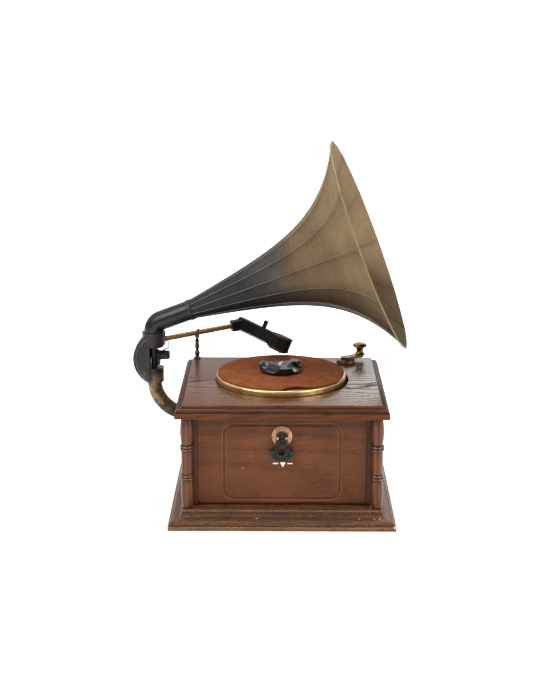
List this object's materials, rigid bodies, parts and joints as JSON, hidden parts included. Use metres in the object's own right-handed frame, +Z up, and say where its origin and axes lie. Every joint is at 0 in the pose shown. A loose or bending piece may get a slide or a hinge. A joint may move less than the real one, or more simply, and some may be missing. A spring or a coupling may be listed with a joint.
{
  "type": "record player",
  "caption": "Small tabletop horn record player: dark wood cabinet with turned columns and drop door, brass platter with suede mat, side-mounted tonearm and a panelled bronze horn",
  "frame": {"origin": "centre of the underside of the bottom panel, on the floor", "axes": "+X to the viewer's right along the front, +Y to the back, +Z up; the door faces -Y"},
  "size_m": [0.2435, 0.2159, 0.3019],
  "materials": {
    "dark_wood": "dark stained and varnished",
    "door_wood": "dark stained and varnished",
    "suede": "napped suede",
    "brass": "worn polish",
    "copper": "aged copper",
    "bronze": "aged",
    "horn_bronze": "antique bronze fading to black at the neck",
    "gunmetal": "satin",
    "black_metal": "black",
    "black_plastic": "moulded",
    "gloss_black": "polished",
    "brown_plastic": "moulded",
    "steel": "plain",
    "rubber": "matte",
    "circuit_board": "lacquered",
    "cell_wrap": "printed wrap without print"
  },
  "bodies": {
    "cabinet": {"base_plinth": "dark_wood", "bottom_panel": "dark_wood", "bottom_screws": "steel", "left_wall": "dark_wood", "right_wall": "dark_wood", "rear_panel": "dark_wood", "column_front_left": "dark_wood", "column_front_right": "dark_wood", "column_rear_left": "dark_wood", "column_rear_right": "dark_wood", "top_plate": "dark_wood", "door_hinge_bushes": "brass", "door_catch": "black_plastic", "platter_bearing": "brass", "motor_plate": "steel", "motor_plate_screws": "steel", "motor": "steel", "drive_belt": "rubber", "support_tube": "gunmetal", "wall_flange": "gunmetal", "flange_screws": "steel", "horn_bracket": "gunmetal", "arm_rest_post": "bronze", "horn_driver": "black_plastic", "volume_control": "steel", "battery_tray": "black_plastic", "battery_cells": "cell_wrap", "amplifier_board": "circuit_board"},
    "platter": {"platter": "brass", "drive_ring": "black_plastic", "spindle": "steel", "mat": "suede"},
    "adapter": {"center_adapter": "black_plastic"},
    "motor_rotor": {"motor_shaft": "steel", "motor_pulley": "brass"},
    "arm_carrier": {"pivot_head": "gunmetal", "pivot_shaft": "steel", "lift_pin": "steel", "spring_hub": "black_plastic", "spring_spool": "black_plastic", "spring_knob": "gunmetal", "balance_spring": "steel"},
    "tonearm": {"arm_root": "gunmetal", "arm_tube": "bronze", "headshell": "gloss_black", "finger_lift": "gloss_black", "soundbox": "gloss_black", "soundbox_rims": "copper", "cartridge": "brown_plastic"},
    "lever": {"control_lever": "bronze", "lever_knob": "brass"},
    "door": {"front_door": "door_wood", "door_hinge_pins": "steel", "door_strike": "steel", "pull_disc": "copper", "pull_pin": "steel"},
    "pull": {"key_pull": "black_metal"},
    "horn": {"horn_elbow": "gunmetal", "horn_ferrule": "gunmetal", "horn_panels": "horn_bronze"}
  },
  "joints": [
    {"name": "platter_spin", "type": "hinge", "parent": "cabinet", "child": "platter", "pos_m": [-0.0011, 0.0036, 0.1038], "axis": [0, 0, 1], "continuous": true},
    {"name": "adapter_lift", "type": "slide", "parent": "platter", "child": "adapter", "axis": [0, 0, 1], "range_m": [0, 0.025]},
    {"name": "motor_spin", "type": "hinge", "parent": "cabinet", "child": "motor_rotor", "pos_m": [0.03781, -0.02364, 0.098], "axis": [0, 0, 1], "continuous": true},
    {"name": "tonearm_swing", "type": "hinge", "parent": "cabinet", "child": "arm_carrier", "pos_m": [-0.1147, 0.054, 0.11], "axis": [0, 0, 1], "range_deg": [0, 24]},
    {"name": "tonearm_lift", "type": "hinge", "parent": "arm_carrier", "child": "tonearm", "pos_m": [-0.1147, 0.054, 0.1242], "axis": [0.3502, -0.9367, 0], "range_deg": [0, 8]},
    {"name": "lever_turn", "type": "hinge", "parent": "cabinet", "child": "lever", "pos_m": [0.0571, 0.0555, 0.104], "axis": [0, 0, 1], "range_deg": [-40, 45]},
    {"name": "door_swing", "type": "hinge", "parent": "cabinet", "child": "door", "pos_m": [0, -0.0613, 0.0175], "axis": [1, 0, 0], "range_deg": [0, 90]},
    {"name": "pull_swing", "type": "hinge", "parent": "door", "child": "pull", "pos_m": [0, -0.0676, 0.0748], "axis": [-1, 0, 0], "range_deg": [0, 35]},
    {"name": "horn_swivel", "type": "hinge", "parent": "cabinet", "child": "horn", "pos_m": [-0.1147, 0.054, 0.132], "axis": [0, 0, 1], "range_deg": [-20, 15]}
  ],
  "couplings": [
    {"joint": "motor_spin", "follows": "platter_spin", "ratio": 14}
  ]
}
